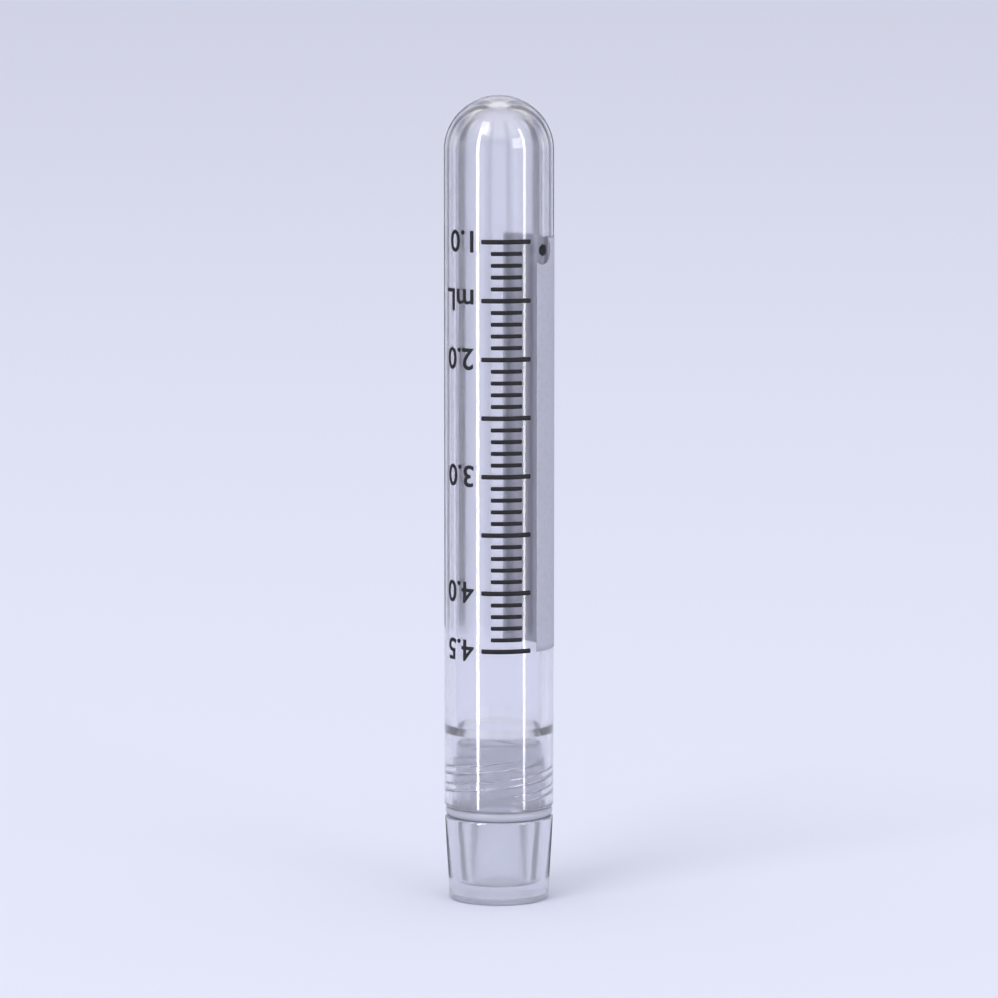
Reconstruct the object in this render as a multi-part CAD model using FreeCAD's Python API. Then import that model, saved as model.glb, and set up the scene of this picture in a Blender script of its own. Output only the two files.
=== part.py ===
import FreeCAD, Part

import math
import os

# Cryovial: a screw-capped sample tube with a round bottom, moulded in natural polypropylene.
# It cannot stand on its round end, so it is drawn as it rests, upside down on the flat top of its cap.
# The origin is the centre of the cap's top face, and +Z runs up the tube towards the round end.
# Angles round the tube are counted from the front, which faces -Y, and grow towards +X.
# All sizes are in millimetres.

# Tube
TUBE_RADIUS = 6.25
TUBE_WALL = 1.35
TUBE_LENGTH = 81.2
MOUTH_WALL = 0.85
MOUTH_DEPTH = 8.4
MOUTH_CONE = 0.9
RIM_OUTER_ROUND = 0.25
RIM_INNER_ROUND = 0.12

# Screw thread, right-hand, two starts
THREAD_LEAD = 4.0
THREAD_STARTS = 2
THREAD_HEIGHT = 0.40
THREAD_ROOT_WIDTH = 1.0
THREAD_CREST_WIDTH = 0.6
THREAD_CLEARANCE = 0.12
THREAD_SINK = 0.25
FEMALE_THREAD_START = 0.7
FEMALE_THREAD_LENGTH = 5.3
MALE_THREAD_START = 1.4
MALE_THREAD_LENGTH = 5.4

# Cap
HEAD_HEIGHT = 9.6
HEAD_TOP_RADIUS = 5.7
HEAD_BASE_RADIUS = 6.2
HEAD_TOP_ROUND = 0.30
HEAD_BASE_ROUND = 0.25
RECESS_DEPTH = 0.6
RECESS_RIM = 1.0
RECESS_ROUND = 0.15
CAP_WEB = 1.2
HOLLOW_MOUTH_RADIUS = 3.5
HOLLOW_END_RADIUS = 3.2
HOLLOW_ROUND = 0.5
PLUG_LENGTH = 7.4
PLUG_LEAD_IN = 0.5
NECK_GAP = 0.47
NECK_STEP = 0.3

# O-ring
RING_SECTION = 1.16
RING_FIT = 0.03
RING_SEAT_GAP = 0.02

# Print
INK_THICKNESS = 0.04
SCALE_FIRST_ML = 1.0
SCALE_LAST_ML = 4.5
SCALE_STEP_ML = 0.1
STEPS_PER_MAJOR = 5
MAJOR_TICK_ARC = 5.8
MINOR_TICK_ARC = 3.6
MAJOR_TICK_WIDTH = 0.52
MINOR_TICK_WIDTH = 0.46
PATCH_GAP = 0.9
PATCH_ARC = 14.4
DOT_DIAMETER = 1.3
DOT_GAP = 1.9
DOT_DROP = 1.05
DOT_MARGIN = 1.0
NUMERAL_GAP = 1.0
NUMERAL_HEIGHT = 2.4
NUMERAL_STROKE = 0.34
NUMERAL_SPACING = 0.32
BOWL_MOUTH = 160
FIVE_MOUTH = 135
TWO_TURN = -25
LABELS = [("4.5", 4.5), ("4.0", 4.0), ("3.0", 3.0), ("2.0", 2.0), ("mL", 1.5), ("1.0", 1.0)]

# Sizes and places that follow from the ones above
BORE_RADIUS = TUBE_RADIUS - TUBE_WALL
MOUTH_RADIUS = TUBE_RADIUS - MOUTH_WALL
FEMALE_CREST_RADIUS = MOUTH_RADIUS - THREAD_HEIGHT
MALE_CREST_RADIUS = MOUTH_RADIUS - THREAD_CLEARANCE
PLUG_RADIUS = MALE_CREST_RADIUS - THREAD_HEIGHT
NECK_RADIUS = MOUTH_RADIUS - NECK_GAP
RING_RADIUS = NECK_RADIUS + RING_FIT + RING_SECTION / 2
RECESS_RADIUS = HEAD_TOP_RADIUS - RECESS_RIM
RING_HEIGHT = HEAD_HEIGHT + RING_SEAT_GAP + RING_SECTION / 2
RIM_HEIGHT = HEAD_HEIGHT + 2 * RING_SEAT_GAP + RING_SECTION
PLUG_END = RIM_HEIGHT + PLUG_LENGTH
TIP_HEIGHT = RIM_HEIGHT + TUBE_LENGTH
THREAD_PITCH = THREAD_LEAD / THREAD_STARTS

ORIGIN = FreeCAD.Vector(0, 0, 0)
UP = FreeCAD.Vector(0, 0, 1)
BACK = FreeCAD.Vector(0, 1, 0)


def section_point(radius, height):
    """A point of the half section, which lies in the XZ plane."""
    return FreeCAD.Vector(radius, 0, height)


def turned(corners):
    """Solid of revolution about Z. Each corner of its half section is (radius, height, rounding)."""
    points = [section_point(radius, height) for radius, height, rounding in corners]
    arrivals = []
    departures = []
    bends = []
    for index, here in enumerate(points):
        rounding = corners[index][2]
        to_last = (points[index - 1] - here).normalize()
        to_next = (points[(index + 1) % len(points)] - here).normalize()
        half_angle = to_last.getAngle(to_next) / 2
        reach = rounding / math.tan(half_angle)
        arrivals.append(here + to_last * reach)
        departures.append(here + to_next * reach)
        if rounding:
            bisector = (to_last + to_next).normalize()
            crown = here + bisector * (rounding / math.sin(half_angle) - rounding)
            bends.append(Part.Arc(arrivals[-1], crown, departures[-1]).toShape())
        else:
            bends.append(None)
    edges = []
    for index, bend in enumerate(bends):
        if bend:
            edges.append(bend)
        start = departures[index]
        end = arrivals[(index + 1) % len(points)]
        if start.distanceToPoint(end) > 1e-6:
            edges.append(Part.LineSegment(start, end).toShape())
    return Part.Face(Part.Wire(edges)).revolve(ORIGIN, UP, 360)


def thread_ridge(root_radius, crest_radius, length):
    """One start of the thread: a trapezoid carried up a right-hand helix, with blunt ends and a sunk root."""
    back = root_radius + math.copysign(THREAD_SINK, root_radius - crest_radius)
    half_crest = THREAD_CREST_WIDTH / 2
    flank = (THREAD_ROOT_WIDTH / 2 - half_crest) / THREAD_HEIGHT
    half_back = half_crest + flank * (THREAD_HEIGHT + THREAD_SINK)
    corners = [
        section_point(back, -half_back),
        section_point(crest_radius, -half_crest),
        section_point(crest_radius, half_crest),
        section_point(back, half_back),
    ]
    helix = Part.makeHelix(THREAD_LEAD, length - THREAD_ROOT_WIDTH, root_radius)
    return Part.Wire(helix).makePipeShell([Part.makePolygon(corners + corners[:1])], True, True)


def thread(root_radius, crest_radius, low, length, rise):
    """All starts of a thread, from a height up. The rise shifts its helix along the axis."""
    ridges = []
    first_height = low + THREAD_ROOT_WIDTH / 2
    for start in range(THREAD_STARTS):
        ridge = thread_ridge(root_radius, crest_radius, length)
        turns = start / THREAD_STARTS + (first_height - rise) / THREAD_LEAD
        ridge.rotate(ORIGIN, UP, 360 * turns)
        ridge.translate(FreeCAD.Vector(0, 0, first_height))
        ridges.append(ridge)
    return ridges


def make_vial():
    """The tube: a straight wall with a round end above, and a wider threaded mouth at the rim below."""
    bore_end = TIP_HEIGHT - TUBE_WALL
    cone_start = RIM_HEIGHT + MOUTH_DEPTH
    body = turned([
        (MOUTH_RADIUS, RIM_HEIGHT, RIM_INNER_ROUND),
        (TUBE_RADIUS, RIM_HEIGHT, RIM_OUTER_ROUND),
        (TUBE_RADIUS, TIP_HEIGHT, TUBE_RADIUS),
        (0, TIP_HEIGHT, 0),
        (0, bore_end, 0),
        (BORE_RADIUS, bore_end, BORE_RADIUS),
        (BORE_RADIUS, cone_start + MOUTH_CONE, 0),
        (MOUTH_RADIUS, cone_start, 0),
    ])
    low = RIM_HEIGHT + FEMALE_THREAD_START
    ridges = thread(MOUTH_RADIUS, FEMALE_CREST_RADIUS, low, FEMALE_THREAD_LENGTH, THREAD_PITCH / 2)
    return body.fuse(ridges)


def make_cap():
    """The cap: a tapered head that the vial stands on, a neck for the O-ring and a hollow threaded plug."""
    hollow_end = RECESS_DEPTH + CAP_WEB
    body = turned([
        (0, RECESS_DEPTH, 0),
        (RECESS_RADIUS, RECESS_DEPTH, RECESS_ROUND),
        (RECESS_RADIUS, 0, RECESS_ROUND),
        (HEAD_TOP_RADIUS, 0, HEAD_TOP_ROUND),
        (HEAD_BASE_RADIUS, HEAD_HEIGHT, HEAD_BASE_ROUND),
        (NECK_RADIUS, HEAD_HEIGHT, 0),
        (NECK_RADIUS, RIM_HEIGHT, 0),
        (PLUG_RADIUS, RIM_HEIGHT + NECK_STEP, 0),
        (PLUG_RADIUS, PLUG_END, PLUG_LEAD_IN),
        (HOLLOW_MOUTH_RADIUS, PLUG_END, 0),
        (HOLLOW_END_RADIUS, hollow_end, HOLLOW_ROUND),
        (0, hollow_end, 0),
    ])
    low = RIM_HEIGHT + MALE_THREAD_START
    ridges = thread(PLUG_RADIUS, MALE_CREST_RADIUS, low, MALE_THREAD_LENGTH, 0)
    return body.fuse(ridges)


def make_ring():
    """The O-ring, round the cap's neck and under the tube's rim."""
    return Part.makeTorus(RING_RADIUS, RING_SECTION / 2, section_point(0, RING_HEIGHT), UP)


def level_height(millilitres):
    """Height of the mark for a volume, as the liquid stands when the round end is at the bottom."""
    bowl_volume = 2 / 3 * math.pi * BORE_RADIUS ** 3
    column = (1000 * millilitres - bowl_volume) / (math.pi * BORE_RADIUS ** 2)
    return TIP_HEIGHT - TUBE_WALL - BORE_RADIUS - column


def wall_point(radius, angle, height):
    """A point at an angle in degrees from the front, towards +X."""
    turn = math.radians(angle)
    return FreeCAD.Vector(radius * math.sin(turn), -radius * math.cos(turn), height)


def wall_arc(radius, first, last, height):
    """A level arc round the tube's axis."""
    angles = (first, (first + last) / 2, last)
    return Part.Arc(*[wall_point(radius, angle, height) for angle in angles]).toShape()


def arc_degrees(length):
    """Degrees round the tube for a length along its outside."""
    return math.degrees(length / TUBE_RADIUS)


def film(first, last, low, high):
    """A field of ink on the tube's outside, between two angles and two heights."""
    outer = TUBE_RADIUS + INK_THICKNESS
    edges = [
        wall_arc(TUBE_RADIUS, first, last, low),
        Part.LineSegment(wall_point(TUBE_RADIUS, last, low), wall_point(outer, last, low)).toShape(),
        wall_arc(outer, last, first, low),
        Part.LineSegment(wall_point(outer, first, low), wall_point(TUBE_RADIUS, first, low)).toShape(),
    ]
    return Part.Face(Part.Wire(edges)).extrude(UP * (high - low))


def tick_volumes():
    """The volumes that have a tick, each with True where the tick is a long one."""
    count = round((SCALE_LAST_ML - SCALE_FIRST_ML) / SCALE_STEP_ML)
    return [(SCALE_FIRST_ML + SCALE_STEP_ML * step, step % STEPS_PER_MAJOR == 0) for step in range(count + 1)]


def make_ticks():
    """The scale: short ticks with a long one at every half millilitre, all centred on the front."""
    ticks = []
    for volume, is_major in tick_volumes():
        half_arc = arc_degrees(MAJOR_TICK_ARC if is_major else MINOR_TICK_ARC) / 2
        half_width = (MAJOR_TICK_WIDTH if is_major else MINOR_TICK_WIDTH) / 2
        height = level_height(volume)
        ticks.append(film(-half_arc, half_arc, height - half_width, height + half_width))
    return ticks


def dot_bar(radius):
    """A round bar that stands out through the wall at the dot, for the dot itself or for its clearance."""
    angle = arc_degrees(MAJOR_TICK_ARC / 2 + DOT_GAP)
    foot = wall_point(TUBE_RADIUS / 2, angle, level_height(SCALE_FIRST_ML) - DOT_DROP)
    return Part.makeCylinder(radius, TUBE_RADIUS, foot, wall_point(1, angle, 0))


def make_dot():
    """The round spot past the end of the scale's first tick."""
    first = arc_degrees(MAJOR_TICK_ARC / 2)
    high = level_height(SCALE_FIRST_ML)
    skin = film(first, first + arc_degrees(2 * DOT_GAP), high - 2 * DOT_DROP, high)
    return skin.common(dot_bar(DOT_DIAMETER / 2))


def make_patch():
    """The white writing field beside the ticks, as long as the scale and cut back round the dot."""
    first = arc_degrees(MAJOR_TICK_ARC / 2 + PATCH_GAP)
    edge = MAJOR_TICK_WIDTH / 2
    low = level_height(SCALE_LAST_ML) - edge
    high = level_height(SCALE_FIRST_ML) + edge
    field = film(first, first + arc_degrees(PATCH_ARC), low, high)
    return field.cut(dot_bar(DOT_DIAMETER / 2 + DOT_MARGIN))


def bar(x_start, y_start, x_end, y_end):
    """A straight stroke of a numeral, as a flat face with square ends half a stroke past its points."""
    start = FreeCAD.Vector(x_start, 0, y_start)
    end = FreeCAD.Vector(x_end, 0, y_end)
    along = (end - start).normalize() * (NUMERAL_STROKE / 2)
    across = along.cross(BACK)
    corners = [start - along - across, end + along - across, end + along + across, start - along + across]
    return Part.Face(Part.makePolygon(corners + corners[:1]))


def bow(x_centre, y_centre, radius, first, last):
    """A curved stroke of a numeral, as a flat sector between two angles counted from the right."""
    centre = FreeCAD.Vector(x_centre, 0, y_centre)

    def rim(reach, angle):
        turn = math.radians(angle)
        return centre + FreeCAD.Vector(reach * math.cos(turn), 0, reach * math.sin(turn))

    inner = radius - NUMERAL_STROKE / 2
    outer = radius + NUMERAL_STROKE / 2
    middle = (first + last) / 2
    edges = [
        Part.Arc(rim(inner, first), rim(inner, middle), rim(inner, last)).toShape(),
        Part.LineSegment(rim(inner, last), rim(outer, last)).toShape(),
        Part.Arc(rim(outer, last), rim(outer, middle), rim(outer, first)).toShape(),
        Part.LineSegment(rim(outer, first), rim(inner, first)).toShape(),
    ]
    return Part.Face(Part.Wire(edges))


def character_strokes(character):
    """The strokes of one plain character and its width. Its centre lines stand on the line y = 0."""
    tall = NUMERAL_HEIGHT - NUMERAL_STROKE
    wide = tall / 2
    quarter = tall / 4
    if character == "0":
        sides = [bar(0, quarter, 0, tall - quarter), bar(wide, quarter, wide, tall - quarter)]
        top = bow(quarter, tall - quarter, quarter, 0, 180)
        return sides + [top, bow(quarter, quarter, quarter, 180, 360)], wide
    if character == "1":
        return [bar(quarter, 0, quarter, tall), bar(0, 0.75 * tall, quarter, tall)], quarter
    if character == "2":
        top = bow(quarter, tall - quarter, quarter, TWO_TURN, 180)
        return [top, bar(0, 0, 0.93 * wide, 0.62 * tall), bar(0, 0, wide, 0)], wide
    if character == "3":
        top = bow(quarter, tall - quarter, quarter, -90, BOWL_MOUTH)
        return [top, bow(quarter, quarter, quarter, -BOWL_MOUTH, 90)], wide
    if character == "4":
        stem = 0.7 * wide
        foot = 0.3 * tall
        return [bar(stem, 0, stem, tall), bar(0, foot, stem, tall), bar(0, foot, wide, foot)], wide
    if character == "5":
        bowl = bow(quarter, quarter, quarter, -BOWL_MOUTH, FIVE_MOUTH)
        return [bowl, bar(0.1 * wide, 0.45 * tall, 0.1 * wide, tall), bar(0.1 * wide, tall, wide, tall)], wide
    if character == ".":
        return [bar(0, 0, 0, 0.01 * tall)], 0
    if character == "m":
        arch = 0.18 * tall
        shoulder = 0.5 * tall
        legs = [bar(step * 2 * arch, 0, step * 2 * arch, shoulder) for step in range(3)]
        arches = [bow(arch * (2 * step + 1), shoulder, arch, 0, 180) for step in range(2)]
        return legs + arches, 4 * arch
    return [bar(0, 0, 0, tall), bar(0, 0, 0.8 * wide, 0)], 0.8 * wide


def make_character(strokes, width, arc, height):
    """One character as a film of ink, with its middle at an arc to the right of the upright scale."""
    depth = TUBE_RADIUS
    solids = [stroke.extrude(BACK * depth) for stroke in strokes]
    block = solids[0].fuse(solids[1:]) if len(solids) > 1 else solids[0]
    block.translate(FreeCAD.Vector(-width / 2, -1.5 * depth, (NUMERAL_STROKE - NUMERAL_HEIGHT) / 2))
    block.rotate(ORIGIN, BACK, 180)
    block.translate(FreeCAD.Vector(0, 0, height))
    half_arc = arc_degrees(NUMERAL_HEIGHT)
    skin = film(-half_arc, half_arc, height - NUMERAL_HEIGHT, height + NUMERAL_HEIGHT)
    ink = skin.common(block)
    ink.rotate(ORIGIN, UP, -arc_degrees(arc))
    return ink


def make_numerals():
    """The numerals, upright when the cap is on top, so they stand on their heads here."""
    numerals = []
    for label, volume in LABELS:
        arc = MAJOR_TICK_ARC / 2 + NUMERAL_GAP
        for character in label:
            strokes, width = character_strokes(character)
            inked_width = width + NUMERAL_STROKE
            numerals.append(make_character(strokes, width, arc + inked_width / 2, level_height(volume)))
            arc += inked_width + NUMERAL_SPACING
    return numerals


def export(name, shapes):
    """Writes one node, with each of its solids, and prints what it holds."""
    solids = [solid for shape in shapes for solid in shape.Solids]
    node = solids[0] if len(solids) == 1 else Part.makeCompound(solids)
    node.exportStep("parts/" + name + ".step")
    box = node.BoundBox
    print(name, len(solids), "solids, valid", node.isValid(), "volume", round(node.Volume, 3),
          "height", round(box.ZMin, 3), "to", round(box.ZMax, 3))


os.makedirs("parts", exist_ok=True)
export("cap", [make_cap()])
export("o_ring", [make_ring()])
export("vial", [make_vial()])
export("writing_patch", [make_patch()])
export("graduation_print", make_ticks() + make_numerals() + [make_dot()])
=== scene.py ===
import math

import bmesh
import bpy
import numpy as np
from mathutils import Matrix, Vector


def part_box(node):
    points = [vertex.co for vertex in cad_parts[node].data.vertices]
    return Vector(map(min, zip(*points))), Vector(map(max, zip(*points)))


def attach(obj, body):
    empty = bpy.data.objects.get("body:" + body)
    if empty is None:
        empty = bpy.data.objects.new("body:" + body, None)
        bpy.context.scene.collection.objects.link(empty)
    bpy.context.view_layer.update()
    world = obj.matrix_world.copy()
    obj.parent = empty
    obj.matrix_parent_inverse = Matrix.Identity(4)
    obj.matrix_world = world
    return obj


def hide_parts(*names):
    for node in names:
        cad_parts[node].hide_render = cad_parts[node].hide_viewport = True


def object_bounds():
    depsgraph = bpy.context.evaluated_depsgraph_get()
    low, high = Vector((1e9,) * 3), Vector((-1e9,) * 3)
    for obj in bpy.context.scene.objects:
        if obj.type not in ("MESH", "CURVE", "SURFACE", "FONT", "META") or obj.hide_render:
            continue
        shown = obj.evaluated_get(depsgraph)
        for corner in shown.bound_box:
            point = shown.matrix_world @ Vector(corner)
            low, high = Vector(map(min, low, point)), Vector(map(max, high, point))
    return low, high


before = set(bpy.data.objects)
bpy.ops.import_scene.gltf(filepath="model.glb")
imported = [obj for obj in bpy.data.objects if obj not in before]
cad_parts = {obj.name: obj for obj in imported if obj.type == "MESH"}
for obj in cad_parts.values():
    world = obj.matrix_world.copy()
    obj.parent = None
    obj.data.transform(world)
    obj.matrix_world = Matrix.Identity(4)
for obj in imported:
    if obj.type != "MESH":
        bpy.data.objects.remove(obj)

# %% [markdown]
# # A cryovial, standing on its cap
#
# A cryovial is a small sample tube for freezing cells and liquids. Three pieces are moulded and put
# together: a tube of natural polypropylene with a round end, a cap of the same plastic with a hollow
# threaded plug, and a silicone ring that seals between them. A scale and a writing field are printed
# on the tube. A round end can't stand on a table, so the vial rests on the flat top of its cap, with
# the round end up.
#
# The CAD model holds the exact solids. This lesson gives each of them its finish: smooth surfaces of
# revolution with a real screw thread, clear plastic that bends light, and ink that follows the wall.
# The first step is to measure what the frame holds.

cad_low, cad_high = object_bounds()
vial_low, vial_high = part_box("vial")
cap_low, cap_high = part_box("cap")
ring_low, ring_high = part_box("o_ring")
patch_low, patch_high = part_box("writing_patch")
print("the vial is", round(cad_high.z - cad_low.z, 4), "m high")

# %% [markdown]
# ## Sizes
#
# Blender works in metres, and a vial is easier to think of in millimetres, so every size is written in
# millimetres and multiplied once. The outer sizes are read from the frame. The hidden ones, such as
# the bore, are named here with the values that such a tube has.

# %% Name the tube's sizes
MM = 0.001
TUBE_RADIUS = (vial_high.x - vial_low.x) / 2
TUBE_WALL = 1.35 * MM
BORE_RADIUS = TUBE_RADIUS - TUBE_WALL
RIM = vial_low.z
TIP = vial_high.z
BORE_TIP = TIP - TUBE_WALL
MOUTH_WALL = 0.85 * MM
MOUTH_RADIUS = TUBE_RADIUS - MOUTH_WALL
MOUTH_DEPTH = 8.4 * MM
MOUTH_END = RIM + MOUTH_DEPTH
MOUTH_CONE = 0.9 * MM
print("the tube is", round(2 * TUBE_RADIUS / MM, 2), "mm wide")
print("the bore is", round(2 * BORE_RADIUS / MM, 2), "mm wide")

# %% Name the cap's sizes
RING_GAP = 0.02 * MM
HEAD_HEIGHT = ring_low.z - RING_GAP
HEAD_TOP_RADIUS = 5.7 * MM
HEAD_BASE_RADIUS = (cap_high.x - cap_low.x) / 2
RECESS_BORDER = 1.0 * MM
RECESS_RADIUS = HEAD_TOP_RADIUS - RECESS_BORDER
RECESS_DEPTH = 0.6 * MM
CAP_WEB = 1.2 * MM
HOLLOW_END = RECESS_DEPTH + CAP_WEB
HOLLOW_END_RADIUS = 3.2 * MM
HOLLOW_MOUTH_RADIUS = 3.5 * MM
NECK_RADIUS = 4.93 * MM
NECK_IN_MOUTH = 0.3 * MM
NECK_END = RIM + NECK_IN_MOUTH
PLUG_RADIUS = 4.88 * MM
PLUG_END = cap_high.z
print("the cap's head is", round(HEAD_HEIGHT / MM, 2), "mm high")
print("the plug ends at", round(PLUG_END / MM, 2), "mm")

# %% [markdown]
# ## Surfaces of revolution
#
# Everything moulded here is round, so each piece is a half section carried round the Z axis. Spin or a
# Screw modifier could turn it, but then a thread could not be part of the same skin. Working out the
# whole grid of points with numpy keeps the thread, the walls and the round end one closed surface, and
# takes a few milliseconds.
#
# A sharp mathematical corner looks false, because a mould always leaves a small radius that catches
# the light. So each corner of a half section has a rounding. Each straight run has extra rows close to
# its ends, which keep the smooth shading from bleeding out of the rounding into the flat.

# %% Straight runs and round ends
GUARD_ROWS = np.array([0.04, 0.16]) * MM
CROWDING = 1.6
# Places are rounded to this many digits of a metre, so that points in one place compare as equal.
DIGITS = 8
TOUCH = 10 ** -DIGITS


def straight(start, end, spacing):
    """Rows from start to end: evenly spaced, with guard rows near both ends."""
    length = np.linalg.norm(end - start)
    if length < TOUCH:
        return np.empty((0, 2))
    guard = GUARD_ROWS[GUARD_ROWS < length / 2]
    even = np.linspace(0, length, max(1, math.ceil(length / spacing)) + 1)
    steps = np.unique(np.round(np.concatenate([even, guard, length - guard]), DIGITS))
    return start + (end - start) * (steps / length)[:, None]


def dome(radius, top, rows):
    """A quarter circle from the axis to the wall: radius sin a, top - radius + radius cos a.

    The angle a grows as a power of the row's share, so the rows crowd towards the axis.
    """
    polar = math.pi / 2 * np.linspace(0, 1, rows) ** CROWDING
    return np.column_stack([radius * np.sin(polar), top - radius + radius * np.cos(polar)])


print("rows closer than", round(TOUCH / MM, 6), "mm count as one")

# %% [markdown]
# A half section is a list of corners: radius, height, rounding, and the spacing of the rows on the run
# that follows. The spacing is close only where the thread needs it. A corner without a rounding lies on
# a straight wall, and only the spacing changes there.

# %% Half sections with rounded corners
ARC_STEP = math.radians(12)
FEWEST_STEPS = 3


def half_section(corners):
    """Rows through the corners, each rounded corner replaced by an arc that touches both of its runs.

    The arc starts and ends at the rounding over the tangent of half the corner's angle from the
    corner. Its centre lies on the bisector, at the rounding over the sine of that half angle. Its
    points turn from the first radius to the last one at an even rate.
    """
    points = np.array([corner[:2] for corner in corners])
    rows, last = [], points[0]
    for index in range(1, len(points) - 1):
        here, rounding = points[index], corners[index][2]
        if rounding == 0:
            rows.append(straight(last, here, corners[index - 1][3]))
            last = here
            continue
        back = (points[index - 1] - here) / np.linalg.norm(points[index - 1] - here)
        ahead = (points[index + 1] - here) / np.linalg.norm(points[index + 1] - here)
        half = math.acos(np.clip(back @ ahead, -1, 1)) / 2
        sweep = math.pi - 2 * half
        reach = rounding / math.tan(half)
        centre = here + (back + ahead) / np.linalg.norm(back + ahead) * rounding / math.sin(half)
        first, final = here + back * reach, here + ahead * reach
        share = np.linspace(0, 1, max(FEWEST_STEPS, math.ceil(sweep / ARC_STEP)) + 1)[:, None]
        arc = np.sin((1 - share) * sweep) * (first - centre) + np.sin(share * sweep) * (final - centre)
        rows.append(straight(last, first, corners[index - 1][3]))
        rows.append(centre + arc / math.sin(sweep))
        last = final
    rows.append(straight(last, points[-1], corners[-2][3]))
    section = np.vstack(rows)
    apart = np.linalg.norm(np.diff(section, axis=0), axis=1) > TOUCH
    return section[np.concatenate([[True], apart])]


print("a square corner is rounded in", math.ceil(math.pi / 2 / ARC_STEP), "steps")

# %% [markdown]
# A mesh in Blender is lists of points, corners and faces. `foreach_set` copies a whole numpy array into
# each list at once. The first and last rows of a half section lie on the axis, so each of them is a
# single point, and a fan of triangles closes the skin there.

# %% Put arrays into meshes
COLUMNS = 224


def put_mesh(name, points, faces):
    """A smooth mesh object from points and from arrays of faces, one array for each number of corners."""
    mesh = bpy.data.meshes.new(name)
    corners = np.concatenate([group.ravel() for group in faces])
    sizes = np.concatenate([np.full(len(group), group.shape[1]) for group in faces])
    mesh.vertices.add(len(points))
    mesh.vertices.foreach_set("co", points.astype(np.float32).ravel())
    mesh.loops.add(len(corners))
    mesh.loops.foreach_set("vertex_index", corners.astype(np.int32))
    mesh.polygons.add(len(sizes))
    mesh.polygons.foreach_set("loop_start", (np.cumsum(sizes) - sizes).astype(np.int32))
    mesh.polygons.foreach_set("use_smooth", np.ones(len(sizes), bool))
    mesh.update(calc_edges=True)
    mesh.validate()
    piece = bpy.data.objects.new(name, mesh)
    bpy.context.collection.objects.link(piece)
    print(name, "has", len(points), "points and", len(sizes), "faces")
    return piece


def turned(name, section, relief):
    """The closed surface of a half section carried round the axis.

    Point (row, column) is (radius cos angle, radius sin angle, height), where the relief of that row
    and column is added to the radius.
    """
    angle = np.linspace(0, 2 * np.pi, COLUMNS, endpoint=False)
    radius = section[1:-1, :1] + relief[1:-1]
    height = np.repeat(section[1:-1, 1:], COLUMNS, axis=1)
    grid = np.stack([radius * np.cos(angle), radius * np.sin(angle), height], axis=-1)
    index = np.arange(height.size).reshape(height.shape)
    across = np.roll(index, -1, axis=1)
    quads = np.stack([index[:-1], index[1:], across[1:], across[:-1]], axis=-1).reshape(-1, 4)
    first, last = height.size, height.size + 1
    fans = [np.column_stack([np.full(COLUMNS, first), index[0], across[0]]),
            np.column_stack([across[-1], index[-1], np.full(COLUMNS, last)])]
    poles = [[0, 0, section[0, 1]], [0, 0, section[-1, 1]]]
    return put_mesh(name, np.vstack([grid.reshape(-1, 3), poles]), [quads, np.vstack(fans)])


print("a turned piece has a column every", round(360 / COLUMNS, 2), "degrees")

# %% [markdown]
# ## The screw thread
#
# The thread has two starts, so a full turn lifts the tube by two pitches. A thread can be modelled by
# sweeping a small profile along a helix, but where the sweep meets the wall the two surfaces cross,
# and clear plastic shows every such crossing. Here the thread is a relief on the wall itself: how far
# a point is from the middle of the nearest ridge, counted along the axis, says how far the wall stands
# out there. The ridges fade out at both ends, as the mould's cutter leaves them.

# %% Thread relief
THREAD_LEAD = 4.0 * MM
THREAD_STARTS = 2
THREAD_PITCH = THREAD_LEAD / THREAD_STARTS
THREAD_HEIGHT = 0.4 * MM
THREAD_ROOT = 1.0 * MM
THREAD_CREST = 0.6 * MM
THREAD_FADE = 0.3 * MM
THREAD_ROW = 0.08 * MM


def ease(share):
    """Three times the square less twice the cube: a rise from 0 to 1 that is level at both ends."""
    return share * share * (3 - 2 * share)


def thread_relief(heights, low, length, rise):
    """How far the ridges stand out, for every row and column.

    Along the axis, a ridge passes each angle once a pitch. So the distance to the nearest ridge's
    middle is the height over the pitch, less one for each start in a turn, less its nearest whole
    number. The flanks fall from crest to root over that distance, and the ends fall along the helix.
    """
    turn = np.linspace(0, 1, COLUMNS, endpoint=False)
    place = (heights[:, None] - rise) / THREAD_PITCH - THREAD_STARTS * turn
    off = (place - np.round(place)) * THREAD_PITCH
    middle = heights[:, None] - off
    flank = np.clip((THREAD_ROOT / 2 - np.abs(off)) / ((THREAD_ROOT - THREAD_CREST) / 2), 0, 1)
    start = np.clip((middle - low - THREAD_ROOT / 2) / THREAD_FADE, 0, 1)
    end = np.clip((low + length - THREAD_ROOT / 2 - middle) / THREAD_FADE, 0, 1)
    return THREAD_HEIGHT * ease(flank) * ease(start) * ease(end)


print("a full turn lifts the tube by", round(THREAD_LEAD / MM, 2), "mm")

# %% [markdown]
# ## The tube
#
# The tube is injection moulded over a polished core pin, and its wall thins at the mouth to make room
# for the thread. Its half section starts at the top of the round end, runs down the outside, round the
# rim, and up the inside to the top of the bore. The plastic came in at the middle of the round end: a
# gate leaves a shallow dimple there, with the stump of the runner in it.

# %% Shape the round end
TIP_ROWS = 44
BORE_TIP_ROWS = 36
GATE_RADIUS = 0.9 * MM
GATE_DEPTH = 0.07 * MM
STUMP_RADIUS = 0.3 * MM
STUMP_HEIGHT = 0.042 * MM

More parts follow.
